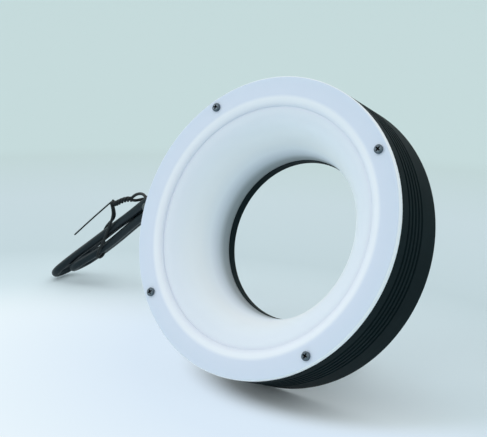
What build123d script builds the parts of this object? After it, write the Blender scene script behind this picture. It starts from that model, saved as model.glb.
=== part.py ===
from build123d import *
from math import cos, pi, radians, sin, tan
import os

# Machine vision ring light: a grooved black housing with a white bell diffuser, leaning back
# on its rear edge and on its own folded cable. All sizes are in millimetres, angles in degrees.

# Driving dimensions of the ring, in its own frame: height 0 is the rear face, z runs to the front
outer_r = 75.0
depth = 39.0
flange_t = 3.0
bore_r = 41.05
lean = 23.92
rear_chamfer = 1.2

# Where the ring stands: it leans back, and its lowest point is the upper edge of the rear chamfer
lean_sin = sin(radians(lean))
lean_cos = cos(radians(lean))
rear_z = outer_r * lean_cos - rear_chamfer * lean_sin
rear_y = (outer_r * lean_sin + depth * lean_cos - (outer_r - rear_chamfer) * lean_sin) / 2
ring_place = Plane(origin=(0, rear_y, rear_z), x_dir=(1, 0, 0), z_dir=(0, -lean_cos, lean_sin)).location

# Diffuser
diffuser_t = 2.5
throat_r = 41.4
crease_r = 60.2
crease_drop = 2.2
shoulder_r = 66.2
cover_t = 5.0
screw_circle_r = 70.5
screw_angle = 38.8

# Housing
shell_front = depth - flange_t
wall_in_r = 69.5
cover_seat_r = 72.0
front_lip_r = 67.5
front_lip_t = 7.0
groove_count = 5
groove_pitch = 3.28
groove_first = 15.75
groove_w = 1.7
groove_floor_w = 0.8
groove_depth = 0.8
mount_r = 65.0
mount_hole_r = 1.65
mount_hole_depth = 7.0
mount_boss_r = 4.2
cover_screw_r = 66.2
cover_screw_angle = 22.5
cover_boss_r = 4.0

# Light board
pad_t = 1.0
board_t = 1.6
board_in_r = 46.0
board_out_r = 60.3
led_rings = [(48.2, 42), (52.3, 48), (56.0, 54)]
led_size = (2.8, 3.5, 1.9)
board_screw_r = 52.3
board_screw_count = 6
resistor_r = 59.0
resistor_size = (1.6, 3.2, 0.6)
resistor_count = 18

# Cable and its entry through the housing's side, on the -X side
cable_d = 5.0
entry_h = 9.6
entry_in_r = 62.8
bush_spot_r = 74.2
bush_flange_r = 5.2
bush_flange_t = 2.0
bush_neck_r = 4.0
bush_boot_len = 9.0
bush_tip_r = 3.5

# Hank: two long loops, stacked, drawn in where the tie holds them, their low folds set askew
hank_pitch = 35.7
hank_yaw = -2.1
hank_roll = 7.5
hank_start = (-219.4, 53.0)
hank_lift = -0.2
hank_len = 183.0
fold_half = 11.0
fold_skew = 3.4
waist_half = 2.9
waist_at = 63.5
waist_run = 9.0
loop_step = 7.0
lower_shift = 19.0
lower_tail_in = 12.0
upper_tail_out = 16.0

# Tie round the hank: two loops of soft wire, their legs twisted together, one thin end left over
tie_r = 0.8
tie_twist_r = 1.3
tie_end_r = 0.5

# Plug: all lengths run from its back end towards its nose
plug_y = 28.0
plug_z = 7.4
plug_back_x = -25.0
boot_len = 20.0
grip_len = 13.0
grip_r = 7.4
carrier_r = 4.3
cup_r = 4.9
cup_low = 3.8
carrier_len = 14.0
pin_circle_r = 2.5
coupling_r = 7.1
coupling_knurl_len = 9.0
coupling_len = 14.5
coupling_gap = 0.4
thread_r = 5.95
thread_pitch = 1.0
running_gap = 0.06
flute_count = 24


def ring(r_in, r_out, low, high):
    """A flat ring round the axis, from one height to another."""
    body = Pos(0, 0, low) * Cylinder(r_out, high - low, align=(Align.CENTER, Align.CENTER, Align.MIN))
    hole = Pos(0, 0, low) * Cylinder(r_in, high - low, align=(Align.CENTER, Align.CENTER, Align.MIN))
    return body - hole


def rod(r, low, high):
    return Pos(0, 0, low) * Cylinder(r, high - low, align=(Align.CENTER, Align.CENTER, Align.MIN))


def around(angle, r, height=0.0):
    """The place at an angle round the axis, with its own X pointing outwards."""
    return Rot(0, 0, angle) * Pos(r, 0, height)


def turned(points):
    """A solid turned from an outline of (radius, height) points."""
    face = make_face(Polyline(*points, close=True))
    return revolve(Plane.XZ * face, Axis.Z)


def write(name, shape):
    export_step(shape, f"parts/{name}.step")


def write_ring(name, shape):
    """Writes one piece, or a list of equal pieces, given in the ring's own frame."""
    if isinstance(shape, list):
        write(name, Compound(children=[ring_place * one for one in shape]))
    else:
        write(name, ring_place * shape)


def bell_diffuser():
    """Flange, rounded shoulder and bell, one wall thickness all through."""
    drop = depth - crease_drop
    bell_x = crease_r - throat_r
    bell_y = drop - cover_t
    low = (throat_r, cover_t)
    crease = (crease_r, drop)
    shoulder = (shoulder_r, depth)
    bell = EllipticalCenterArc((crease_r, cover_t), bell_x, bell_y, 180, arc_size=-90)
    lip = EllipticalCenterArc((shoulder_r, drop), shoulder_r - crease_r, crease_drop, 180, arc_size=-90)
    back_bell = EllipticalCenterArc(
        (crease_r, cover_t), bell_x - diffuser_t, bell_y - diffuser_t, 180, arc_size=-90
    )
    back_crease = (crease_r, drop - diffuser_t)
    edge_round = 0.5
    front = [
        bell,
        lip,
        Line(shoulder, (outer_r - edge_round, depth)),
        Line((outer_r - edge_round, depth), (outer_r, depth - edge_round)),
        Line((outer_r, depth - edge_round), (outer_r, shell_front)),
        Line((outer_r, shell_front), (front_lip_r - 0.6, shell_front)),
        Line((front_lip_r - 0.6, shell_front), back_crease),
        back_bell,
        Line((throat_r + diffuser_t, cover_t), low),
    ]
    body = revolve(Plane.XZ * make_face(Wire(front)), Axis.Z)
    for k in range(4):
        body -= around(screw_angle + 90 * k, screw_circle_r) * rod(1.4, shell_front - 1, depth + 1)
    return body


def housing_shell():
    """Turned tube with grooves, a front lip for the flange screws and bosses for the cover."""
    profile = [(cover_seat_r, 0), (outer_r - rear_chamfer, 0), (outer_r, rear_chamfer)]
    for k in range(groove_count):
        mid = groove_first + k * groove_pitch
        profile += [
            (outer_r, mid - groove_w / 2),
            (outer_r - groove_depth, mid - groove_floor_w / 2),
            (outer_r - groove_depth, mid + groove_floor_w / 2),
            (outer_r, mid + groove_w / 2),
        ]
    profile += [
        (outer_r, shell_front - 0.3),
        (outer_r - 0.3, shell_front),
        (front_lip_r, shell_front),
        (front_lip_r, shell_front - front_lip_t),
        (wall_in_r, shell_front - front_lip_t - 2),
        (wall_in_r, cover_t),
        (cover_seat_r, cover_t),
    ]
    body = turned(profile)
    for k in range(4):
        boss = around(cover_screw_angle + 90 * k, cover_screw_r) * rod(cover_boss_r, cover_t, cover_t + 10)
        body += boss
    for k in range(4):
        body -= around(cover_screw_angle + 90 * k, cover_screw_r) * rod(1.5, cover_t - 1, cover_t + 8)
        body -= around(screw_angle + 90 * k, screw_circle_r) * rod(1.25, shell_front - 6, shell_front + 1)
    across = Rot(0, -90, 0)
    body -= Pos(0, 0, entry_h) * across * rod(bush_neck_r, 60, 80)
    body -= Pos(0, 0, entry_h) * across * rod(bush_flange_r + 0.1, bush_spot_r, 80)
    return body


def rear_cover():
    """Plate with the bore, tapped bosses for mounting and countersunk holes for its own screws."""
    body = turned([
        (bore_r, 0.4),
        (bore_r + 0.4, 0),
        (cover_seat_r - 0.1, 0),
        (cover_seat_r - 0.1, cover_t),
        (bore_r, cover_t),
    ])
    for k in range(4):
        body += around(45 + 90 * k, mount_r) * rod(mount_boss_r, cover_t, mount_hole_depth + 2)
    for k in range(4):
        body -= around(45 + 90 * k, mount_r) * rod(mount_hole_r, -1, mount_hole_depth)
        place = around(cover_screw_angle + 90 * k, cover_screw_r)
        body -= place * rod(1.7, -1, cover_t + 1)
        body -= place * Cone(3.2, 1.7, 1.5, align=(Align.CENTER, Align.CENTER, Align.MIN))
    for k in range(board_screw_count):
        body -= around(30 + 60 * k, board_screw_r) * rod(1.25, 1, cover_t + 1)
    return body


def cross_recess(size, low, deep):
    """The cross of a Phillips recess, tapering a little towards its floor."""
    arm = Box(size, size * 0.28, deep, align=(Align.CENTER, Align.CENTER, Align.MIN))
    core = Cone(size * 0.12, size * 0.24, deep, align=(Align.CENTER, Align.CENTER, Align.MIN))
    return Pos(0, 0, low) * (arm + Rot(0, 0, 90) * arm + core)


def flange_screws():
    """Four M2.5 pan heads with a crowned top."""
    head_r, head_t, crown = 2.2, 1.3, 0.4
    head = turned([(0, 0), (head_r, 0), (head_r, head_t - crown), (head_r * 0.72, head_t), (0, head_t)])
    one = head - cross_recess(2.7, head_t - 1.0, 1.1)
    one += rod(1.2, -flange_t - 5, 0)
    return [around(screw_angle + 90 * k, screw_circle_r, depth) * Rot(0, 0, 20 + 35 * k) * one for k in range(4)]


def cover_screws():
    """Four M3 countersunk screws, entered from the rear."""
    top = rod(1.45, 1.4, cover_t + 7)
    head = Cone(3.1, 1.45, 1.5, align=(Align.CENTER, Align.CENTER, Align.MIN))
    one = head + top - cross_recess(3.4, -0.1, 1.1)
    return [around(cover_screw_angle + 90 * k, cover_screw_r) * one for k in range(4)]


def thermal_pad():
    body = ring(board_in_r + 1, board_out_r - 1.5, cover_t, cover_t + pad_t)
    for k in range(board_screw_count):
        body -= around(30 + 60 * k, board_screw_r) * rod(1.5, cover_t - 1, cover_t + pad_t + 1)
    return body


def led_board():
    low = cover_t + pad_t
    body = ring(board_in_r, board_out_r, low, low + board_t)
    for k in range(board_screw_count):
        body -= around(30 + 60 * k, board_screw_r) * rod(1.4, low - 1, low + board_t + 1)
    return body


def leds():
    """Three rings of LED packages, left out where a board screw's head sits."""
    top = cover_t + pad_t + board_t
    one = Box(*led_size, align=(Align.CENTER, Align.CENTER, Align.MIN))
    one -= Pos(0, 0, led_size[2] - 0.4) * Cylinder(1.1, 1, align=(Align.CENTER, Align.CENTER, Align.MIN))
    found = []
    for r, count in led_rings:
        for k in range(count):
            angle = 360 * (k + 0.5) / count
            off = abs((angle - 30 + 30) % 60 - 30)
            near_screw = abs(r - board_screw_r) < 1 and radians(off) * r < 4.5
            if not near_screw:
                found.append(around(angle, r, top) * one)
    return found


def resistors():
    top = cover_t + pad_t + board_t
    one = Box(*resistor_size, align=(Align.CENTER, Align.CENTER, Align.MIN))
    angles = [360 * (k + 0.5) / resistor_count for k in range(resistor_count)]
    return [around(angle, resistor_r, top) * one for angle in angles if abs(angle - 180) > 15]


def board_screws():
    top = cover_t + pad_t + board_t
    one = rod(2.2, top, top + 1.4) + rod(1.2, 1.5, top)
    one -= cross_recess(2.5, top + 0.5, 1.1)
    return [around(30 + 60 * k, board_screw_r) * one for k in range(board_screw_count)]


def outwards(shape):
    """From a shape along +Z to one along the cable entry, outwards through the housing's side."""
    return Pos(0, 0, entry_h) * Rot(0, -90, 0) * shape


def cable_bush():
    """Strain relief: a neck through the wall with a barb inside, a flange and a ribbed boot outside."""
    seat = bush_spot_r
    boot_low = seat + bush_flange_t
    rib_count = 4
    rib = bush_boot_len / (rib_count + 1)
    outline = [(0, wall_in_r - 2.2), (bush_neck_r - 0.6, wall_in_r - 2.2), (bush_neck_r + 0.7, wall_in_r - 0.2)]
    outline += [(bush_neck_r - 0.1, wall_in_r - 0.2), (bush_neck_r - 0.1, seat), (bush_flange_r, seat)]
    outline += [(bush_flange_r, boot_low - 0.4), (bush_flange_r - 0.4, boot_low), (4.4, boot_low)]
    for k in range(rib_count):
        r = 4.4 - (4.4 - bush_tip_r) * (k + 1) / (rib_count + 1)
        low = boot_low + rib * (k + 0.7)
        outline += [(r, low), (r - 0.55, low + 0.1), (r - 0.55, low + 0.8), (r, low + 0.9)]
    outline += [(bush_tip_r, boot_low + bush_boot_len), (0, boot_low + bush_boot_len)]
    body = turned(outline) - rod(cable_d / 2 + 0.05, 50, 120)
    return outwards(body)


def bush_tip():
    return bush_spot_r + bush_flange_t + bush_boot_len


def cable_entry():
    return outwards(rod(cable_d / 2, entry_in_r, bush_tip()))


def inner_cable_tie():
    """Narrow cable tie drawn tight round the cable's inner end, with its square head."""
    low = entry_in_r + 1.2
    band = Pos(0, 0, low) * (Cylinder(cable_d / 2 + 1.0, 2.4, align=(Align.CENTER, Align.CENTER, Align.MIN)))
    head = Pos(0, 3.9, low - 0.4) * Box(3.6, 2.6, 3.2, align=(Align.CENTER, Align.CENTER, Align.MIN))
    return outwards(band + head - rod(cable_d / 2 + 0.05, low - 2, low + 5))


def inner_lead(side):
    """One insulated wire from the cable's end down to the board."""
    wire_r = 0.65
    top = cover_t + pad_t + board_t
    path = FilletPolyline(
        (-entry_in_r, side * 1.1, entry_h),
        (-entry_in_r + 2.2, side * 1.1, entry_h),
        (-entry_in_r + 3.6, side * 4.0, top + 0.8),
        (-entry_in_r + 4.3, side * 6.5, top + 0.7),
        radius=[0.9, 1.2],
    )
    return sweep(Plane(path @ 0, z_dir=path % 0) * Circle(wire_r), path)


def solder_joints():
    top = cover_t + pad_t + board_t
    spots = []
    for side in (-1, 1):
        dome = Sphere(1.2) & Pos(0, 0, 1.0) * Box(4, 4, 2)
        spots.append(Pos(-entry_in_r + 4.5, side * 7.8, top) * dome)
    return spots


def corner_tangents(points):
    """How far from each corner its arc may begin: 0.45 of the shorter run beside it."""
    runs = [(Vector(*b) - Vector(*a)).length for a, b in zip(points, points[1:])]
    return [0.45 * min(x, y) for x, y in zip(runs, runs[1:])]


def tube(points, name, r=cable_d / 2, tangents=None):
    """A round tube along straight runs joined by tangent arcs. Prints its radii and its volume check."""
    tangents = tangents or corner_tangents(points)
    radii = []
    for a, b, c, reach in zip(points, points[1:], points[2:], tangents):
        turn = (Vector(*b) - Vector(*a)).get_angle(Vector(*c) - Vector(*b))
        radii.append(reach / tan(radians(turn / 2)))
    path = FilletPolyline(*points, radius=radii)
    solid = sweep(Plane(path @ 0, z_dir=path % 0) * Circle(r), path)
    share = solid.volume / (pi * r * r * path.length)
    print(name, "length", round(path.length, 1), "radii", [round(x, 1) for x in radii],
          "volume share", round(share, 4))
    return solid, path


def hank_plane():
    """Place of the hank: X along it, up from its low end, Y across it, Z square to both."""
    pitch, yaw, roll = radians(hank_pitch), radians(hank_yaw), radians(hank_roll)
    along = Vector(cos(pitch) * cos(yaw), cos(pitch) * sin(yaw), sin(pitch))
    level = Vector(-sin(yaw), cos(yaw), 0)
    across = level * cos(roll) + along.cross(level) * sin(roll)
    return Plane(origin=(*hank_start, hank_lift), x_dir=along, z_dir=along.cross(across))


def on_hank(*points):
    """Points given in the hank's own frame, as points of the part."""
    frame = hank_plane()
    return [tuple(frame.from_local_coords(Vector(*p))) for p in points]


def hank_points():
    """Corners of the hank's path, in its own frame: down one run, round a fold, up the next."""
    low, high = -loop_step / 2, loop_step / 2
    near, far = waist_at - waist_run, waist_at + waist_run
    return [
        (far + lower_tail_in, -waist_half, low),
        (near, -waist_half, low),
        (lower_shift + fold_skew, -fold_half, low),
        (lower_shift - fold_skew, fold_half, low),
        (near, waist_half, low),
        (far, waist_half, low),
        (hank_len, fold_half, 0),
        (hank_len, -fold_half, 0),
        (far, -waist_half, high),
        (near, -waist_half, high),
        (fold_skew, -fold_half, high),
        (-fold_skew, fold_half, high),
        (near, waist_half, high),
        (far + upper_tail_out, waist_half, high),
    ]


def least_gap(path, skip=20.0, step=1.5):
    """The least clear gap between stretches of one tube that are more than a few diameters apart."""
    count = int(path.length / step)
    spots = [path @ (k / count) for k in range(count + 1)]
    jump = int(skip / step)
    nearest = min(
        (a - b).length for k, a in enumerate(spots) for b in spots[k + jump:]
    )
    return nearest - cable_d


def cord_hank():
    solid, path = tube(on_hank(*hank_points()), "cord_hank")
    low = min((path @ (k / 800)).Z for k in range(801)) - cable_d / 2
    print("cord_hank least gap to itself", round(least_gap(path), 2), "lowest", round(low, 3))
    return solid


def cord_lead():
    """From the boot's tip out to the side, round behind the ring and into the hank's lower layer."""
    tip = ring_place * Pos(-bush_tip(), 0, entry_h)
    start = tip.position
    side = start + Vector(-19.3, 0, 0)
    join, end = on_hank((113, -waist_half, -loop_step / 2), hank_points()[0])
    return tube([tuple(start), tuple(side), join, end], "cord_lead", tangents=[17.4, 21.5])[0]


def cord_tail():
    """Out of the hank's upper layer, over behind the ring and down to the plug."""
    rise = on_hank(hank_points()[-1], (108, waist_half, loop_step / 2))
    over = [(-119, 62.5, 79.5), (-106, 71, 84.5), (-95, 78, 77), (-92, 80, 60.5)]
    down = [(-95.5, 75.5, 40), (-94, 63, 17), (-72, 43, 5.5)]
    level = [(-48, plug_y, plug_z), (plug_back_x, plug_y, plug_z)]
    return tube(rise + over + down + level, "cord_tail")[0]


def wire(points, radii, r=tie_r):
    """A piece of tie wire through points in the hank's frame."""
    path = FilletPolyline(*on_hank(*points), radius=radii)
    return sweep(Plane(path @ 0, z_dir=path % 0) * Circle(r), path)


def lump(spot, r):
    """A short round lump across the hank, where wires are wound on each other."""
    low, high = [Vector(*p) for p in on_hank(*[(spot[0], spot[1] + d, spot[2]) for d in (-2.3, 2.3)])]
    place = Plane(origin=low, z_dir=high - low).location
    return place * rod(r, 0, 4.6)


def twist_tie():
    """Two loops round the strands, a knot, a twisted stretch between them and the thin end."""
    side, wide, top = 6.9, 8.2, loop_step / 2 + cable_d / 2 + tie_r + 0.1
    knot = (81.6, -3, 15.2)
    split = (97, -3, 8.9)
    slanted = [(81.6, -4.1, 14.8), (79, -5, 8.8), (76.6, -6.2, 5.7), (47, -wide, -top), (47, wide, -top)]
    slanted += [(74, side, top), (76.5, 0, top + 1.2), (81.6, -1.9, 14.8)]
    upright = [(97, -4.1, 8.7), (101.5, -8.8, 4.6), (97.5, -8.6, -top), (97.5, wide, -top)]
    upright += [(98.5, wide, top), (98.5, 1.5, top + 0.6), (97, -1.9, 8.7)]
    arch = [split, (102.2, -3, 9.8), (105.4, -3.2, 8.8), (109.8, -4, 6.6)]
    body = wire(slanted, [3, 3, 2.4, 2.4, 2.4, 2.0])
    body += wire(upright, [2.4, 2.4, 2.4, 2.4, 2.0])
    body += wire([knot, (82.8, -3, 12), (95, -3, 10.4), split], [1.8, 3], r=tie_twist_r)
    body += wire(arch, [3, 3])
    body += wire([knot, (60, -3.2, 15.1), (36.3, -3, 14.5)], [400], r=tie_end_r)
    return body + lump(knot, 1.9) + lump(split, 1.7)


def on_plug(shape):
    """From a shape along +Z, starting at the plug's back end, to its place on the floor."""
    return Plane(origin=(plug_back_x, plug_y, plug_z), x_dir=(0, 1, 0), z_dir=(1, 0, 0)).location * shape


def plug_body():
    """Moulded grip with a tapered, ribbed boot."""
    front = boot_len + grip_len
    outline = [(0, 0), (3.4, 0), (3.5, 2.0)]
    for k in range(4):
        low = 3.0 + 3.6 * k
        r = 3.6 + 0.4 * k
        outline += [(r, low), (r - 0.7, low + 0.2), (r - 0.7, low + 1.2), (r + 0.1, low + 1.4)]
    outline += [(5.6, boot_len - 1.6), (grip_r - 0.8, boot_len), (grip_r, boot_len + 1.2)]
    outline += [(grip_r, front - 0.8), (grip_r - 0.6, front), (carrier_r, front), (carrier_r, front - 6), (0, front - 6)]
    body = turned(outline)
    for k in range(8):
        cut = Box(3.0, 1.1, grip_len - 5, align=(Align.CENTER, Align.CENTER, Align.MIN))
        body -= Rot(0, 0, 22.5 + 45 * k) * Pos(grip_r + 1.0, 0, boot_len + 2.5) * cut
    return body


def plug_carrier():
    """Contact carrier: a stem in the grip, and a cup round the pins with its key rib."""
    base = boot_len + grip_len
    top = base + carrier_len
    floor = base + cup_low + 2.4
    body = turned([
        (0, base - 6),
        (carrier_r, base - 6),
        (carrier_r, base + cup_low),
        (cup_r, base + cup_low),
        (cup_r, top),
        (cup_r - 0.65, top),
        (cup_r - 0.65, floor),
        (0, floor),
    ])
    body += Pos(0, cup_r - 0.9, floor) * Box(0.9, 0.9, top - floor - 0.8, align=(Align.CENTER, Align.CENTER, Align.MIN))
    for k in range(4):
        body -= around(45 + 90 * k, pin_circle_r) * rod(0.5, base - 3, floor + 1)
    return body


def plug_pins():
    base = boot_len + grip_len
    top = base + carrier_len - 0.8
    one = turned([(0, base - 3), (0.5, base - 3), (0.5, top - 0.4), (0.25, top), (0, top)])
    return [around(45 + 90 * k, pin_circle_r) * one for k in range(4)]


def plug_coupling():
    """Knurled ring with an M12 thread in front. It turns freely on the carrier, behind its cup."""
    low = boot_len + grip_len + coupling_gap
    top = low + coupling_len
    knurl = low + coupling_knurl_len
    step = boot_len + grip_len + cup_low - 0.15
    outline = [(carrier_r + running_gap, low), (coupling_r - 0.6, low), (coupling_r, low + 0.6)]
    outline += [(coupling_r, knurl - 0.6), (coupling_r - 0.6, knurl), (thread_r - 0.6, knurl)]
    pitch_at = knurl + 0.6
    while pitch_at + thread_pitch < top - 0.1:
        outline += [(thread_r - 0.55, pitch_at), (thread_r, pitch_at + 0.35), (thread_r, pitch_at + 0.6)]
        pitch_at += thread_pitch
    outline += [(thread_r - 0.55, pitch_at), (thread_r - 0.55, top), (cup_r + running_gap, top)]
    outline += [(cup_r + running_gap, step), (carrier_r + running_gap, step)]
    body = turned(outline)
    for k in range(flute_count):
        flute = rod(0.55, low - 1, knurl + 1)
        body -= around(360 * k / flute_count, coupling_r + 0.2) * flute
    return body


def main():
    os.makedirs("parts", exist_ok=True)
    write_ring("bell_diffuser", bell_diffuser())
    write_ring("housing_shell", housing_shell())
    write_ring("rear_cover", rear_cover())
    write_ring("flange_screws", flange_screws())
    write_ring("cover_screws", cover_screws())
    write_ring("thermal_pad", thermal_pad())
    write_ring("led_board", led_board())
    write_ring("leds", leds())
    write_ring("resistors", resistors())
    write_ring("board_screws", board_screws())
    write_ring("cable_bush", cable_bush())
    write_ring("cable_entry", cable_entry())
    write_ring("inner_cable_tie", inner_cable_tie())
    write_ring("lead_positive", inner_lead(1))
    write_ring("lead_negative", inner_lead(-1))
    write_ring("solder_joints", solder_joints())
    write("cord_lead", cord_lead())
    write("cord_hank", cord_hank())
    write("cord_tail", cord_tail())
    write("twist_tie", twist_tie())
    write("plug_body", on_plug(plug_body()))
    write("plug_carrier", on_plug(plug_carrier()))
    write("plug_pins", Compound(children=[on_plug(one) for one in plug_pins()]))
    write("plug_coupling", on_plug(plug_coupling()))


main()
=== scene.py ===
import bpy
from math import cos, pi, radians, sin
from mathutils import Matrix, Vector


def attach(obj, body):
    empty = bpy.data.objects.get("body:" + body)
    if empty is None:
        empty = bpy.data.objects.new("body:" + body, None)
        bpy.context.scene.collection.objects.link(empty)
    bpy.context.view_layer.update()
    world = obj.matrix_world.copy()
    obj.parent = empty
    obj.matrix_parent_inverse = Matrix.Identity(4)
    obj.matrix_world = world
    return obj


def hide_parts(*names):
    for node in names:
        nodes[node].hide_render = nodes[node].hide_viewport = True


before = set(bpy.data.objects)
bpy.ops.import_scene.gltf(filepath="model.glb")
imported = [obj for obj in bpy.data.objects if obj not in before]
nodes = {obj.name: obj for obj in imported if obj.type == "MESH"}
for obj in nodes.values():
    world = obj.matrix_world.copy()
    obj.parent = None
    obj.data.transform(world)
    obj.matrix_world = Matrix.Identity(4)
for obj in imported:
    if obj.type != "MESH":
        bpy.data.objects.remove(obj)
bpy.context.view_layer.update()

scene = bpy.context.scene
scene.view_settings.view_transform = "Standard"
collection = scene.collection
print("frame loaded,", len(nodes), "CAD nodes")


# Camera: the photograph's viewing angle, worked out from the ring's ellipses
cameraSetup = {
    "place": (0.31006, -0.42551, 0.21439),
    "elevation": 13.974,
    "azimuth": 38.066,
    "lens": 81.09,
    "sensor": 36.0,
    "clip": (0.02, 60.0),
}
cameraData = bpy.data.cameras.new("camera")
cameraData.lens = cameraSetup["lens"]
cameraData.sensor_width = cameraSetup["sensor"]
cameraData.clip_start, cameraData.clip_end = cameraSetup["clip"]
camera = bpy.data.objects.new("camera", cameraData)
camera.location = cameraSetup["place"]
camera.rotation_euler = (
    radians(90 - cameraSetup["elevation"]), 0, radians(cameraSetup["azimuth"]))
collection.objects.link(camera)
scene.camera = camera
print("camera placed")


# The ring leans back. Its own frame starts in the middle of the rear face, with Z to the front
ringSetup = {"lean": 23.92, "origin": (0.0, 0.01807, 0.06807)}

# What the finishes share: noise for the fine grain, and soft clouds between two close colours
patternSetup = {
    "grainDetail": 3.0,
    "grainRoughness": 0.55,
    "grainSpan": (0.3, 0.7),  # where nearly all of the noise lies
    "turnedMarks": 4,  # turning marks to a radian, so each runs a good way round
    "cloudSize": 22.0,  # mm, where a finish gives none
    "cloudDetail": 2.0,
    "cloudGain": 1.6,
    "cloudShift": -0.3,
    "bumpStrength": 0.5,
}


def addNode(tree, kind, settings=None, inputs=None):
    node = tree.nodes.new(kind)
    for key, value in (settings or {}).items():
        setattr(node, key, value)
    for key, value in (inputs or {}).items():
        if isinstance(value, bpy.types.NodeSocket):
            tree.links.new(value, node.inputs[key])
        else:
            node.inputs[key].default_value = value
    return node


def hexColour(text):
    # an sRGB hex value as the linear colour that shaders work in
    values = [int(text[k:k + 2], 16) / 255 for k in (0, 2, 4)]
    linear = [v / 12.92 if v <= 0.04045 else ((v + 0.055) / 1.055) ** 2.4 for v in values]
    return (*linear, 1.0)


def ringCoordinates(tree, position):
    # radius, height and angle in the ring's own frame, for marks that run round it
    moved = addNode(tree, "ShaderNodeVectorMath", {"operation": "SUBTRACT"},
                    {0: position, 1: ringSetup["origin"]})
    level = addNode(tree, "ShaderNodeVectorRotate", {"rotation_type": "X_AXIS"},
                    {"Vector": moved.outputs[0], "Angle": -radians(90 - ringSetup["lean"])})
    split = addNode(tree, "ShaderNodeSeparateXYZ", None, {0: level.outputs[0]})
    x, y, height = split.outputs
    flat = addNode(tree, "ShaderNodeCombineXYZ", None, {0: x, 1: y})
    radius = addNode(tree, "ShaderNodeVectorMath", {"operation": "LENGTH"}, {0: flat.outputs[0]})
    angle = addNode(tree, "ShaderNodeMath", {"operation": "ARCTAN2"}, {0: y, 1: x})
    return radius.outputs["Value"], height, angle.outputs[0]


def fillRamp(ramp, stops):
    while len(ramp.color_ramp.elements) < len(stops):
        ramp.color_ramp.elements.new(0.5)
    for stop, (place, colour) in zip(ramp.color_ramp.elements, stops):
        stop.position = place
        stop.color = hexColour(colour)
    return ramp.outputs["Color"]


def profileColour(tree, position, look):
    # radius plus height grows all the way from the throat to the outer edge, so it marks a place
    # there; the colours set along it hold painted shade and painted highlights
    radius, height = ringCoordinates(tree, position)[:2]
    along = addNode(tree, "ShaderNodeMath", {"operation": "ADD"}, {0: radius, 1: height})
    stops = look["profile"]
    first, last = stops[0][0], stops[-1][0]
    share = addNode(tree, "ShaderNodeMapRange", None, {
        0: along.outputs[0], 1: first / 1000, 2: last / 1000})
    ramp = addNode(tree, "ShaderNodeValToRGB", None, {"Fac": share.outputs[0]})
    face = fillRamp(ramp, [((place - first) / (last - first), colour) for place, colour in stops])
    # a painted highlight along the outer edge
    start, end, colour = look["paintedRimHighlight"]
    paintedRimHighlight = addNode(tree, "ShaderNodeMapRange", None, {0: radius, 1: start / 1000, 2: end / 1000})
    return addNode(tree, "ShaderNodeMix", {"data_type": "RGBA"}, {
        0: paintedRimHighlight.outputs[0], 6: face, 7: hexColour(colour)}).outputs[2]


def cloudColour(tree, position, look):
    # two close colours in soft patches
    cloud = addNode(tree, "ShaderNodeTexNoise", None, {
        "Vector": position, "Scale": 1000 / look.get("cloud", patternSetup["cloudSize"]),
        "Detail": patternSetup["cloudDetail"]})
    blend = addNode(tree, "ShaderNodeMath", {"operation": "MULTIPLY_ADD", "use_clamp": True}, {
        0: cloud.outputs["Fac"], 1: patternSetup["cloudGain"], 2: patternSetup["cloudShift"]})
    first, second = look["colours"]
    return addNode(tree, "ShaderNodeMix", {"data_type": "RGBA"}, {
        0: blend.outputs[0], 6: hexColour(first), 7: hexColour(second)}).outputs[2]


def recessShare(tree, position, recess):
    # 1 in the cross of each of four screws on a circle round the ring, 0 on the rest of their
    # heads: it marks where painted shade blackens the cross
    radius, height, angle = ringCoordinates(tree, position)
    turned = addNode(tree, "ShaderNodeMath", {"operation": "SUBTRACT"}, {
        0: angle, 1: radians(recess["angle"])})
    local = addNode(tree, "ShaderNodeMath", {"operation": "WRAP"}, {
        0: turned.outputs[0], 1: pi / 4, 2: -pi / 4})
    sideways = addNode(tree, "ShaderNodeMath", {"operation": "MULTIPLY"}, {
        0: local.outputs[0], 1: radius})
    outwards = addNode(tree, "ShaderNodeMath", {"operation": "SUBTRACT"}, {
        0: radius, 1: recess["circle"] / 1000})
    offset = addNode(tree, "ShaderNodeCombineXYZ", None, {
        0: outwards.outputs[0], 1: sideways.outputs[0]})
    away = addNode(tree, "ShaderNodeVectorMath", {"operation": "LENGTH"}, {0: offset.outputs[0]})
    near, below = [
        addNode(tree, "ShaderNodeMapRange", None, {
            0: value, 1: recess[key][0] / 1000, 2: recess[key][1] / 1000, 3: 1.0, 4: 0.0})
        for value, key in ((away.outputs["Value"], "reach"), (height, "level"))]
    return addNode(tree, "ShaderNodeMath", {"operation": "MULTIPLY"}, {
        0: near.outputs[0], 1: below.outputs[0]}).outputs[0]


def grainFor(tree, position, look):
    # noise between 0 and 1, its size in millimetres; on a turned piece it is drawn out into rings
    size = look["grain"] / 1000
    vector = position
    if look.get("pattern") == "turned":
        radius, height, angle = ringCoordinates(tree, position)
        slow = addNode(tree, "ShaderNodeMath", {"operation": "MULTIPLY"}, {
            0: angle, 1: size * patternSetup["turnedMarks"]})
        vector = addNode(tree, "ShaderNodeCombineXYZ", None, {
            0: radius, 1: height, 2: slow.outputs[0]}).outputs[0]
    return addNode(tree, "ShaderNodeTexNoise", None, {
        "Vector": vector, "Scale": 1 / size, "Detail": patternSetup["grainDetail"],
        "Roughness": patternSetup["grainRoughness"]}).outputs["Fac"]


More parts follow.
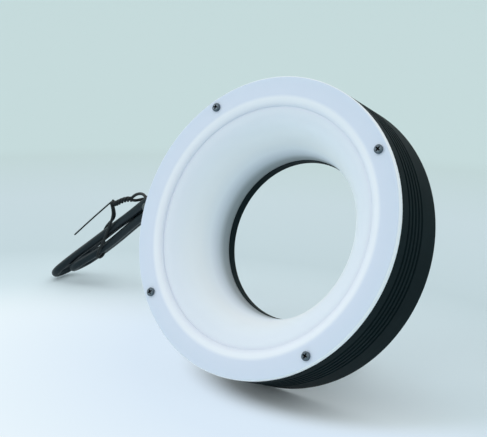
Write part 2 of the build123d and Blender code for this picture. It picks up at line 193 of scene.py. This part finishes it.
def makeMaterial(name, look):
    material = bpy.data.materials.new(name)
    material.use_nodes = True
    tree = material.node_tree
    tree.nodes.clear()
    position = addNode(tree, "ShaderNodeTexCoord").outputs["Object"]
    grain = grainFor(tree, position, look)
    paint = profileColour if "profile" in look else cloudColour
    base = paint(tree, position, look)
    # painted shade blackens the hollow of a screw's cross, where a finish asks for it
    if "recess" in look:
        base = addNode(tree, "ShaderNodeMix", {"data_type": "RGBA"}, {
            0: recessShare(tree, position, look["recess"]),
            6: base, 7: hexColour(look["recess"]["colour"])}).outputs[2]
    rough = addNode(tree, "ShaderNodeMapRange", None, {
        0: grain, 1: patternSetup["grainSpan"][0], 2: patternSetup["grainSpan"][1],
        3: look["roughness"][0], 4: look["roughness"][1]})
    bump = addNode(tree, "ShaderNodeBump", None, {
        "Height": grain, "Strength": patternSetup["bumpStrength"],
        "Distance": look["relief"] / 1000})
    inputs = {"Base Color": base, "Roughness": rough.outputs[0], "Normal": bump.outputs[0]}
    inputs.update(look.get("sockets", {}))
    shader = addNode(tree, "ShaderNodeBsdfPrincipled", None, inputs)
    addNode(tree, "ShaderNodeOutputMaterial", None, {"Surface": shader.outputs[0]})
    return material


# In each finish, sizes are in mm: grain is the width of its finest marks, relief their depth and
# cloud the width of the patches of colour. Real marks can be finer than 0.2 and wouldn't show, so
# none is drawn finer than that. A metal's IOR stays as it comes.

# Frosted acrylic, moulded and blasted: milky, light goes a little way in, gloss is spread wide
frostedAcrylic = makeMaterial("frosted acrylic", {
    # Its colour runs with radius plus height and holds painted light: painted shade deep in the
    # throat and in the crease, painted highlights on the rounded step and the outer edge, and the
    # bell painted paler than the flange for the light that scatters in it
    "profile": [
        (46.4, "808A8E"),  # painted shade deep in the throat, where the thin acrylic also lies over the dark cavity
        (51, "929DA3"),
        (55.3, "C6D1DA"),
        (59, "DAE4EE"),
        (62.9, "E8F2FB"),
        (70.6, "ECF5FC"),  # the bell, painted paler than the flange for the light that scatters in it
        (78, "EAF4FC"),
        (85, "E4EFF9"),
        (91, "DEE9F4"),
        (95, "DCE7F2"),
        (97.0, "DAE3F0"),  # painted shade in the crease round its mouth
        (98.6, "DEE7F3"),
        (101.2, "E6EFF9"),  # the rounded step, with a painted highlight
        (103.0, "E6EFF9"),
        (104.8, "D2DFF0"),  # the flange
        (114, "CEDDEE"),
    ],
    "paintedRimHighlight": (74.5, 74.9, "EEF7FF"),  # painted highlight along the sheet's outer edge
    "roughness": (0.42, 0.52), "grain": 0.35, "relief": 0.006,
    "sockets": {
        "IOR": 1.49, "Subsurface Weight": 0.3, "Subsurface Radius": (1.0, 1.0, 1.0),
        "Subsurface Scale": 0.002,
    },
})
# Anodised aluminium, turned and dyed black: the dyed oxide hides the metal, so it is satin and
# not metallic, and fine rings spread the highlight round
anodisedAluminium = makeMaterial("black anodised aluminium", {
    "colours": ("0A171A", "0F1D21"), "roughness": (0.5, 0.64), "grain": 0.3,
    "pattern": "turned", "relief": 0.012, "cloud": 35.0,
    "sockets": {
        "IOR": 1.45, "Specular IOR Level": 0.055, "Specular Tint": (0.75, 0.97, 1.0, 1.0),
    },
})
# Black oxide on steel: a blue-grey black with a thin oily sheen
blackOxide = makeMaterial("black oxide steel", {
    "colours": ("3B464E", "4B5860"), "roughness": (0.24, 0.38), "grain": 0.25, "relief": 0.01,
    "cloud": 2.5, "sockets": {"Metallic": 0.9},
})
# The same oxide on the pan heads: worn a little paler on top, with painted shade making the cross
# black
oxidePanHeads = makeMaterial("black oxide pan heads", {
    "colours": ("525E67", "65737C"), "roughness": (0.24, 0.38), "grain": 0.25, "relief": 0.01,
    "cloud": 2.5, "sockets": {"Metallic": 0.9},
    "recess": {
        "angle": 38.8, "circle": 70.5,  # the first screw's angle, and their circle's radius
        "reach": (1.4, 1.5), "level": (40.1, 40.22),  # from a screw's axis, and above the rear face
        # painted shade in the cross
        "colour": "020304",
    },
})
# Zinc on steel: pale grey, bright but not a mirror
zincSteel = makeMaterial("zinc plated steel", {
    "colours": ("B9BDC0", "A9ADB2"), "roughness": (0.24, 0.38), "grain": 0.2, "relief": 0.008,
    "cloud": 3.0, "sockets": {"Metallic": 1.0},
})
# Filled silicone sheet: dull grey-blue, soft and a little dusty
filledSilicone = makeMaterial("filled silicone sheet", {
    "colours": ("8A96A3", "7E8A98"), "roughness": (0.7, 0.85), "grain": 0.4, "relief": 0.03,
    "sockets": {"IOR": 1.41},
})
# White solder mask on glass fibre board: clean white, faintly mottled by the glass below
solderMask = makeMaterial("white solder mask", {
    "colours": ("ECECE6", "E4E5E0"), "roughness": (0.35, 0.5), "grain": 0.6, "relief": 0.015,
    "sockets": {"IOR": 1.52},
})
# Clear silicone over phosphor in a white package: warm yellow, softly shining
phosphorLens = makeMaterial("silicone over phosphor", {
    "colours": ("EBDD9A", "F2EBCB"), "roughness": (0.18, 0.3), "grain": 0.3, "relief": 0.01,
    "cloud": 1.6, "sockets": {"IOR": 1.53, "Coat Weight": 0.4, "Coat Roughness": 0.1},
})
# Glazed thick film resistor: hard shiny black
resistorGlaze = makeMaterial("resistor glaze", {
    "colours": ("15171A", "1F2225"), "roughness": (0.15, 0.3), "grain": 0.2, "relief": 0.005,
    "cloud": 1.0, "sockets": {"IOR": 1.55},
})
# Tin solder, cooled in place: bright, with a slightly crinkled skin
tinSolder = makeMaterial("tin solder", {
    "colours": ("C4C8CB", "B4B8BC"), "roughness": (0.18, 0.34), "grain": 0.3, "relief": 0.03,
    "cloud": 1.0, "sockets": {"Metallic": 1.0},
})
# PVC insulation, drawn: smooth and a little waxy
redInsulation = makeMaterial("red PVC insulation", {
    "colours": ("A81E1A", "B52720"), "roughness": (0.3, 0.42), "grain": 0.4, "relief": 0.01,
    "cloud": 3.0, "sockets": {"IOR": 1.53},
})
blackInsulation = makeMaterial("black PVC insulation", {
    "colours": ("1A1C1E", "212426"), "roughness": (0.3, 0.42), "grain": 0.4, "relief": 0.01,
    "cloud": 3.0, "sockets": {"IOR": 1.53},
})
# Natural nylon, moulded: off-white, and light goes a little way in
naturalNylon = makeMaterial("natural nylon", {
    "colours": ("DDDACB", "D4D0BE"), "roughness": (0.38, 0.5), "grain": 0.3, "relief": 0.01,
    "sockets": {
        "IOR": 1.53, "Subsurface Weight": 0.2, "Subsurface Radius": (0.002, 0.002, 0.0015),
        "Subsurface Scale": 1.0,
    },
})
# Soft PVC moulding with a spark-eroded grain: dull black, grain just visible
softMoulding = makeMaterial("soft PVC moulding", {
    "colours": ("1D2023", "25292C"), "roughness": (0.48, 0.64), "grain": 0.35, "relief": 0.04,
    "cloud": 9.0, "sockets": {"IOR": 1.53},
})
# PVC cable jacket, extruded: satin black with a fine grain and handling haze
cableJacket = makeMaterial("extruded PVC jacket", {
    "colours": ("0B1419", "101B21"), "roughness": (0.34, 0.48), "grain": 0.6, "relief": 0.02,
    "cloud": 12.0,
    "sockets": {
        "IOR": 1.53, "Specular IOR Level": 0.25, "Specular Tint": (0.72, 0.92, 1.0, 1.0),
    },
})
# Polyethylene over soft steel wire: satin black, slightly uneven where it was bent
coatedWire = makeMaterial("PE coated tie wire", {
    "colours": ("0E1618", "151E21"), "roughness": (0.4, 0.55), "grain": 0.4, "relief": 0.05,
    "cloud": 4.0, "sockets": {"IOR": 1.51, "Specular IOR Level": 0.25},
})
# Glass filled nylon, moulded: dense black with a hint of flow
filledNylon = makeMaterial("glass filled nylon", {
    "colours": ("202224", "2A2D2F"), "roughness": (0.42, 0.6), "grain": 0.25, "relief": 0.02,
    "cloud": 2.5, "sockets": {"IOR": 1.54},
})
# Gold over nickel: warm and bright
goldPlate = makeMaterial("gold plate", {
    "colours": ("E2B662", "D9A94F"), "roughness": (0.16, 0.28), "grain": 0.2, "relief": 0.004,
    "cloud": 1.0, "sockets": {"Metallic": 1.0},
})
# Nickel on turned brass: cool silver with a fine satin grain
nickelBrass = makeMaterial("nickel plated brass", {
    "colours": ("B7B6B0", "A6A6A2"), "roughness": (0.2, 0.34), "grain": 0.25, "relief": 0.01,
    "cloud": 4.0, "sockets": {"Metallic": 1.0},
})

finishes = {
    "bell_diffuser": frostedAcrylic,
    "housing_shell": anodisedAluminium,
    "rear_cover": anodisedAluminium,
    "flange_screws": oxidePanHeads,
    "cover_screws": blackOxide,
    "board_screws": zincSteel,
    "thermal_pad": filledSilicone,
    "led_board": solderMask,
    "leds": phosphorLens,
    "resistors": resistorGlaze,
    "solder_joints": tinSolder,
    "lead_positive": redInsulation,
    "lead_negative": blackInsulation,
    "inner_cable_tie": naturalNylon,
    "cable_bush": softMoulding,
    "cable_entry": cableJacket,
    "plug_body": softMoulding,
    "plug_carrier": filledNylon,
    "plug_pins": goldPlate,
    "plug_coupling": nickelBrass,
}
for nodeName, material in finishes.items():
    mesh = nodes[nodeName].data
    mesh.materials.clear()
    mesh.materials.append(material)
print("materials made,", len(finishes), "CAD nodes finished")


# The hank's own frame: X along it from its low end, Y across, Z square to both
hankSetup = {"pitch": 35.7, "yaw": -2.1, "roll": 7.5, "origin": (-0.2194, 0.0530, -0.0002)}

# How finely Blender divides each span of a spline, and how round it makes a tube
curveSetup = {"cableSteps": 10, "wireSteps": 6, "guideSteps": 12, "bevel": 5}


def makeHankFrame(setup):
    pitch, yaw, roll = [radians(setup[key]) for key in ("pitch", "yaw", "roll")]
    along = Vector((cos(pitch) * cos(yaw), cos(pitch) * sin(yaw), sin(pitch)))
    level = Vector((-sin(yaw), cos(yaw), 0))
    across = level * cos(roll) + along.cross(level) * sin(roll)
    turn = Matrix((along, across, along.cross(across))).transposed().to_4x4()
    return Matrix.Translation(setup["origin"]) @ turn


hankFrame = makeHankFrame(hankSetup)


def onHank(points):
    return [hankFrame @ Vector(p) for p in points]


def makeRoute(name, points, steps):
    # the bare spline: what lies along it follows the points that Blender gives for it
    route = bpy.data.curves.new(name, "CURVE")
    route.dimensions = "3D"
    spline = route.splines.new("NURBS")
    spline.points.add(len(points) - 1)
    for spot, point in zip(spline.points, points):
        spot.co = (*point, 1.0)
    spline.order_u = 3
    spline.use_endpoint_u = True
    spline.resolution_u = steps
    return route


def makeCurve(name, points, radius, material, steps):
    curve = makeRoute(name, points, steps)
    curve.bevel_depth = radius
    curve.bevel_resolution = curveSetup["bevel"]
    curve.use_fill_caps = True
    curve.materials.append(material)
    made = bpy.data.objects.new(name, curve)
    collection.objects.link(made)
    return made


def centreLine(points):
    route = makeRoute("centre line", points, curveSetup["guideSteps"])
    carrier = bpy.data.objects.new("centre line", route)
    mesh = bpy.data.meshes.new_from_object(carrier)
    found = [vertex.co.copy() for vertex in mesh.vertices]
    bpy.data.objects.remove(carrier)
    bpy.data.curves.remove(route)
    bpy.data.meshes.remove(mesh)
    return found


# Cable: from the bush into the hank, twice down and up it, then over and down to the plug
cableSetup = {
    "diameter": 0.005,
    "length": 0.84,
    "lead": [(-0.08520, 0.00929, 0.07196), (-0.10450, 0.00929, 0.07196)],
    "leadJoin": [(0.1130, -0.0029, -0.0027)],
    "hank": [
        # down the lower layer's near run, through the tie and out to the first low fold
        (0.0930, -0.0029, -0.0027), (0.0780, -0.0029, -0.0031), (0.0640, -0.0029, -0.0035),
        (0.0550, -0.0034, -0.0034), (0.0460, -0.0058, -0.0030), (0.0370, -0.0082, -0.0024),
        (0.0290, -0.0098, -0.0020), (0.0228, -0.0078, -0.0018), (0.0205, -0.0010, -0.0018),
        (0.0210, 0.0066, -0.0018), (0.0262, 0.0098, -0.0019), (0.0350, 0.0086, -0.0023),
        # back up through the tie to the high fold
        (0.0440, 0.0062, -0.0029), (0.0540, 0.0036, -0.0034), (0.0640, 0.0029, -0.0035),
        (0.0780, 0.0029, -0.0031), (0.0920, 0.0036, -0.0026), (0.1150, 0.0059, -0.0022),
        (0.1400, 0.0078, -0.0014), (0.1600, 0.0093, -0.0007), (0.1740, 0.0105, -0.0002),
        (0.1832, 0.0085, 0.0000), (0.1856, 0.0000, 0.0000), (0.1832, -0.0085, 0.0000),
        # down the upper layer to the second low fold
        (0.1740, -0.0105, 0.0002), (0.1600, -0.0093, 0.0007), (0.1400, -0.0078, 0.0014),
        (0.1150, -0.0059, 0.0024), (0.0920, -0.0038, 0.0026), (0.0780, -0.0029, 0.0031),
        (0.0620, -0.0029, 0.0035), (0.0480, -0.0040, 0.0036), (0.0340, -0.0066, 0.0036),
        (0.0220, -0.0090, 0.0034), (0.0118, -0.0107, 0.0030), (0.0046, -0.0078, 0.0026),
        (0.0026, 0.0000, 0.0022), (0.0036, 0.0078, 0.0020), (0.0100, 0.0108, 0.0024),
        # and back up through the tie
        (0.0190, 0.0092, 0.0031), (0.0330, 0.0066, 0.0036), (0.0480, 0.0038, 0.0036),
        (0.0620, 0.0029, 0.0035), (0.0760, 0.0029, 0.0032), (0.0885, 0.0029, 0.0028),
    ],
    "tailRise": [(0.1080, 0.0029, 0.0032)],
    "tail": [
        (-0.1190, 0.0625, 0.0795), (-0.1060, 0.0710, 0.0845), (-0.0950, 0.0780, 0.0770),
        (-0.0920, 0.0800, 0.0605), (-0.0955, 0.0755, 0.0400), (-0.0940, 0.0630, 0.0170),
        (-0.0720, 0.0430, 0.0055), (-0.0480, 0.0280, 0.0074), (-0.0250, 0.0280, 0.0074),
    ],
}
cablePoints = [Vector(p) for p in cableSetup["lead"]]
cablePoints += onHank(cableSetup["leadJoin"] + cableSetup["hank"] + cableSetup["tailRise"])
cablePoints += [Vector(p) for p in cableSetup["tail"]]
cable = makeCurve(
    "cable", cablePoints, cableSetup["diameter"] / 2, cableJacket, curveSetup["cableSteps"])
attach(cable, "light")
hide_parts("cord_lead", "cord_hank", "cord_tail")
print("cable made,", len(cablePoints), "points")


# Tie: soft coated wire, two loops round the hank's runs, twisted together between them
tieSetup = {
    "wireRadius": 0.0009,
    "slantedLoop": [
        (0.0816, -0.0040, 0.0162), (0.0812, -0.0044, 0.0140), (0.0800, -0.0050, 0.0108),
        (0.0780, -0.0058, 0.0080), (0.0735, -0.0068, 0.0052), (0.0660, -0.0070, 0.0018),
        (0.0570, -0.0074, -0.0022), (0.0500, -0.0084, -0.0050), (0.0482, -0.0062, -0.0070),
        (0.0484, -0.0030, -0.0068), (0.0500, -0.0006, -0.0048), (0.0530, 0.0000, 0.0000),
        (0.0560, 0.0000, 0.0040), (0.0610, 0.0000, 0.0068), (0.0680, -0.0004, 0.0076),
        (0.0740, -0.0012, 0.0080), (0.0785, -0.0026, 0.0104), (0.0812, -0.0028, 0.0160),
    ],
    "uprightLoop": [
        (0.0966, -0.0030, 0.0100), (0.0984, -0.0034, 0.0084), (0.1000, -0.0010, 0.0070),
        (0.1002, 0.0046, 0.0064), (0.1000, 0.0070, 0.0028), (0.1002, 0.0072, -0.0028),
        (0.1040, 0.0060, -0.0058), (0.1100, 0.0000, -0.0060), (0.1140, -0.0060, -0.0056),
        (0.1150, -0.0086, -0.0020), (0.1140, -0.0084, 0.0024), (0.1120, -0.0066, 0.0056),
        (0.1092, -0.0046, 0.0078), (0.1060, -0.0036, 0.0094), (0.1022, -0.0030, 0.0104),
        (0.0985, -0.0030, 0.0104), (0.0966, -0.0030, 0.0102),
    ],
    "twist": [
        (0.0816, -0.0030, 0.0164), (0.0820, -0.0030, 0.0150), (0.0832, -0.0030, 0.0140),
        (0.0865, -0.0030, 0.0134), (0.0910, -0.0030, 0.0126), (0.0950, -0.0030, 0.0112),
        (0.0970, -0.0030, 0.0100),
    ],
    "twistTurns": 4,
    "twistRadius": 0.00085,
    "tail": [
        (0.0814, -0.0030, 0.0165), (0.0780, -0.0031, 0.0165), (0.0700, -0.0032, 0.0163),
        (0.0600, -0.0032, 0.0161), (0.0500, -0.0031, 0.0158), (0.0420, -0.0030, 0.0155),
        (0.0363, -0.0030, 0.0153),
    ],
    "tailRadius": 0.0005,
}


def twistedStrand(setup, phase):
    spots = centreLine(onHank(setup["twist"]))
    last = len(spots) - 1
    wound = []
    for k, spot in enumerate(spots):
        ahead = spots[min(k + 1, last)] - spots[max(k - 1, 0)]
        side = ahead.cross(Vector((0, 1, 0))).normalized()
        up = side.cross(ahead).normalized()
        angle = phase + 2 * pi * setup["twistTurns"] * k / last
        wound.append(spot + (side * cos(angle) + up * sin(angle)) * setup["twistRadius"])
    return wound


tieWire = tieSetup["wireRadius"]
tieParts = {
    "tie_slanted_loop": (onHank(tieSetup["slantedLoop"]), tieWire),
    "tie_upright_loop": (onHank(tieSetup["uprightLoop"]), tieWire),
    "tie_tail": (onHank(tieSetup["tail"]), tieSetup["tailRadius"]),
    "tie_strand_one": (twistedStrand(tieSetup, 0.0), tieWire),
    "tie_strand_two": (twistedStrand(tieSetup, pi), tieWire),
}
for name, (points, radius) in tieParts.items():
    piece = makeCurve(name, points, radius, coatedWire, curveSetup["wireSteps"])
    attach(piece, "light")
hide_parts("twist_tie")


# Floor, backdrop and light: a pale studio with a painted pool of light on the floor, soft key from
# the front left, even fill from all round
stageSetup = {
    "floorSize": 26.0,
    "drop": 0.0001,  # just below zero, so the floor shares no face with what stands on it
    "wallRadius": 9.0,
    "wallHeight": 1.5,
    "wallSteps": 96,
    "paintedLightSpot": (-0.05, -0.15, 0.0),  # the painted pool of light on the floor is brightest here, in front of the ring
    "paintedLightReach": 0.75,
    "colours": [  # from the painted light spot outwards, the painted pool of light fading
        (0.0, "F8FEFF"), (0.2, "EEFAFF"), (0.3, "DFF1F8"), (0.44, "C9DCE2"), (0.67, "CBDDE3"),
        (0.93, "C6DADB"), (1.0, "C9DEDF"),
    ],
    # Painted light: round the light spot the floor glows one pale tone for the camera and
    # reflections, which washes out the ring's soft shadow there and stops at the shadow next to the
    # ring
    "glare": {
        "shadowFrom": (0.022, 0.06, 0.0), "edge": (0.087, 0.110),
        "reach": (0.165, 0.26), "share": 0.92,
        "nearColour": "DAEAF9", "farColour": "ECF8FE", "change": (0.13, 0.24),
    },
}
lightSetup = {
    "world": 0.9,
    "lamps": {
        "front left softbox": {"from": (-0.75, -0.433, 0.5), "spread": 35.0, "power": 0.5},
    },
}


def floorShader(tree, setup):
    glare = setup["glare"]
    position = addNode(tree, "ShaderNodeTexCoord").outputs["Object"]
    toSpot, toShadow = [
        addNode(tree, "ShaderNodeVectorMath", {"operation": "DISTANCE"}, {
            0: position, 1: place}).outputs["Value"]
        for place in (setup["paintedLightSpot"], glare["shadowFrom"])]
    share = addNode(tree, "ShaderNodeMath", {"operation": "DIVIDE"}, {
        0: toSpot, 1: setup["paintedLightReach"]})
    # painted pool of light: the floor's colour fades with distance from its spot
    ramp = addNode(tree, "ShaderNodeValToRGB", None, {"Fac": share.outputs[0]})
    plain = addNode(tree, "ShaderNodeBsdfDiffuse", None, {
        "Color": fillRamp(ramp, setup["colours"])})

    # how far the glare covers the floor, from nothing in the shadow to its full share
    outside = addNode(tree, "ShaderNodeMapRange", {"interpolation_type": "SMOOTHSTEP"}, {
        0: toShadow, 1: glare["edge"][0], 2: glare["edge"][1]})
    inside = addNode(tree, "ShaderNodeMapRange", {"interpolation_type": "SMOOTHSTEP"}, {
        0: toSpot, 1: glare["reach"][0], 2: glare["reach"][1], 3: glare["share"], 4: 0.0})
    burnt = addNode(tree, "ShaderNodeMath", {"operation": "MULTIPLY"}, {
        0: outside.outputs[0], 1: inside.outputs[0]})

    # the camera and reflections see it, and it adds no light to the object
    path = addNode(tree, "ShaderNodeLightPath")
    seen = path.outputs["Is Camera Ray"]
    for ray in ("Is Glossy Ray", "Is Transmission Ray"):
        seen = addNode(tree, "ShaderNodeMath", {"operation": "MAXIMUM"}, {
            0: seen, 1: path.outputs[ray]}).outputs[0]
    factor = addNode(tree, "ShaderNodeMath", {"operation": "MULTIPLY"}, {
        0: burnt.outputs[0], 1: seen})
    change = addNode(tree, "ShaderNodeMapRange", None, {
        0: toShadow, 1: glare["change"][0], 2: glare["change"][1]})
    tone = addNode(tree, "ShaderNodeMix", {"data_type": "RGBA"}, {
        0: change.outputs[0], 6: hexColour(glare["nearColour"]), 7: hexColour(glare["farColour"])})
    pale = addNode(tree, "ShaderNodeEmission", None, {"Color": tone.outputs[2], "Strength": 1.0})
    return addNode(tree, "ShaderNodeMixShader", None, {
        0: factor.outputs[0], 1: plain.outputs[0], 2: pale.outputs[0]})


def makeStage(setup):
    material = bpy.data.materials.new("painted studio floor")
    material.use_nodes = True
    tree = material.node_tree
    tree.nodes.clear()
    shader = floorShader(tree, setup)
    addNode(tree, "ShaderNodeOutputMaterial", None, {"Surface": shader.outputs[0]})

    half = setup["floorSize"] / 2
    floorMesh = bpy.data.meshes.new("floor")
    floorCorners = [(-half, -half, 0), (half, -half, 0), (half, half, 0), (-half, half, 0)]
    floorMesh.from_pydata(floorCorners, [], [(0, 1, 2, 3)])

    # the backdrop is a low round wall, open at the top so that the world lights the object
    wallMesh = bpy.data.meshes.new("backdrop")
    steps = setup["wallSteps"]
    corners, faces = [], []
    for k in range(steps):
        angle = 2 * pi * k / steps
        x, y = setup["wallRadius"] * cos(angle), setup["wallRadius"] * sin(angle)
        corners += [(x, y, 0), (x, y, setup["wallHeight"])]
        after = (k + 1) % steps
        faces.append((2 * k, 2 * k + 1, 2 * after + 1, 2 * after))
    wallMesh.from_pydata(corners, [], faces)
    for mesh in (floorMesh, wallMesh):
        mesh.materials.append(material)
        made = bpy.data.objects.new(mesh.name, mesh)
        made.location.z = -setup["drop"]
        collection.objects.link(made)


def makeLight(setup):
    world = bpy.data.worlds.new("studio")
    scene.world = world
    world.use_nodes = True
    tree = world.node_tree
    tree.nodes.clear()
    fill = addNode(tree, "ShaderNodeBackground", None, {
        "Color": (1.0, 1.0, 1.0, 1.0), "Strength": setup["world"]})
    addNode(tree, "ShaderNodeOutputWorld", None, {"Surface": fill.outputs[0]})
    for name, lamp in setup["lamps"].items():
        data = bpy.data.lights.new(name, "SUN")
        data.energy = lamp["power"]
        data.angle = radians(lamp["spread"])
        made = bpy.data.objects.new(name, data)
        made.rotation_euler = Vector(lamp["from"]).to_track_quat("Z", "Y").to_euler()
        collection.objects.link(made)


makeStage(stageSetup)
makeLight(lightSetup)
print("floor, backdrop and light made")
